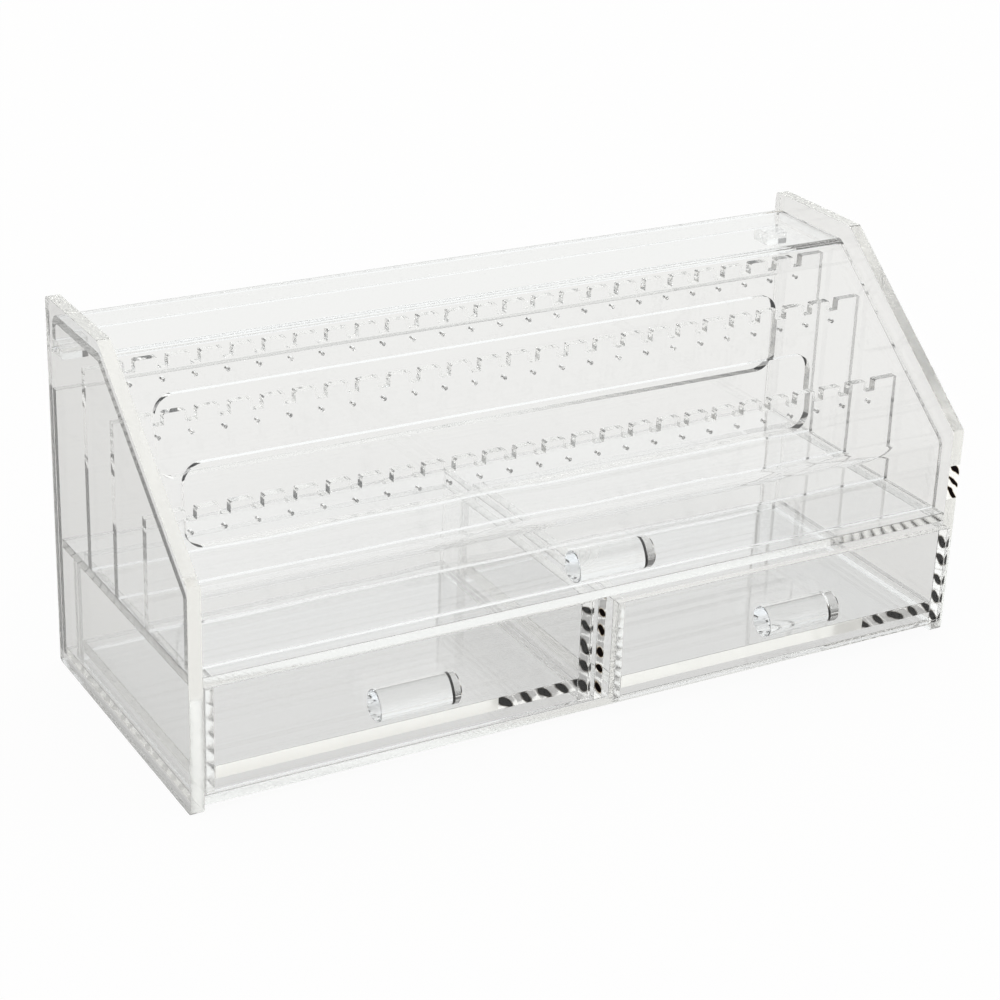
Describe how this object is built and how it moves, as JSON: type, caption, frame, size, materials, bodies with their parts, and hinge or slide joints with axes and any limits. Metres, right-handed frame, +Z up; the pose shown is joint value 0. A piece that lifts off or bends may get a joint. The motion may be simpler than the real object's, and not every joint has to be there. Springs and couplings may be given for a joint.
{
  "type": "earring box with drawers",
  "caption": "Clear earring box: slotted hanging strips under a hinged sloping lid, above open-topped sliding drawers with rod handles.",
  "frame": {"origin": "middle of the bounding box in X and Y, at the level of the surface the side panels stand on", "axes": "+X to the right along the box, +Y from the drawers' handles to the back, +Z up"},
  "size_m": [0.3, 0.133, 0.136],
  "materials": {
    "clear_sheet": "clear polished acrylic sheet with saw-cut and flame-polished edges",
    "clear_rod": "clear polished acrylic rod with flat ends",
    "clear_pin": "clear acrylic hinge pin"
  },
  "bodies": {
    "case": {"left_side_panel": "clear_sheet", "right_side_panel": "clear_sheet", "back_panel": "clear_sheet", "bottom_panel": "clear_sheet", "shelf": "clear_sheet", "drawer_divider": "clear_sheet", "front_earring_strip": "clear_sheet", "middle_earring_strip": "clear_sheet", "rear_earring_strip": "clear_sheet", "left_hinge_pin": "clear_pin", "right_hinge_pin": "clear_pin"},
    "lid": {"lid": "clear_sheet", "lid_handle": "clear_rod", "left_hinge_block": "clear_sheet", "right_hinge_block": "clear_sheet"},
    "left_drawer": {"left_drawer_front": "clear_sheet", "left_drawer_left_wall": "clear_sheet", "left_drawer_right_wall": "clear_sheet", "left_drawer_back": "clear_sheet", "left_drawer_floor": "clear_sheet", "left_drawer_handle": "clear_rod"},
    "right_drawer": {"right_drawer_front": "clear_sheet", "right_drawer_left_wall": "clear_sheet", "right_drawer_right_wall": "clear_sheet", "right_drawer_back": "clear_sheet", "right_drawer_floor": "clear_sheet", "right_drawer_handle": "clear_rod"}
  },
  "joints": [
    {"name": "lid_hinge", "type": "hinge", "parent": "case", "child": "lid", "pos_m": [0, 0.0614, 0.1184], "axis": [-1, 0, 0], "range_deg": [0, 200]},
    {"name": "left_drawer_slide", "type": "slide", "parent": "case", "child": "left_drawer", "axis": [0, -1, 0], "range_m": [0, 0.09]},
    {"name": "right_drawer_slide", "type": "slide", "parent": "case", "child": "right_drawer", "axis": [0, -1, 0], "range_m": [-0.005, 0.085]}
  ]
}
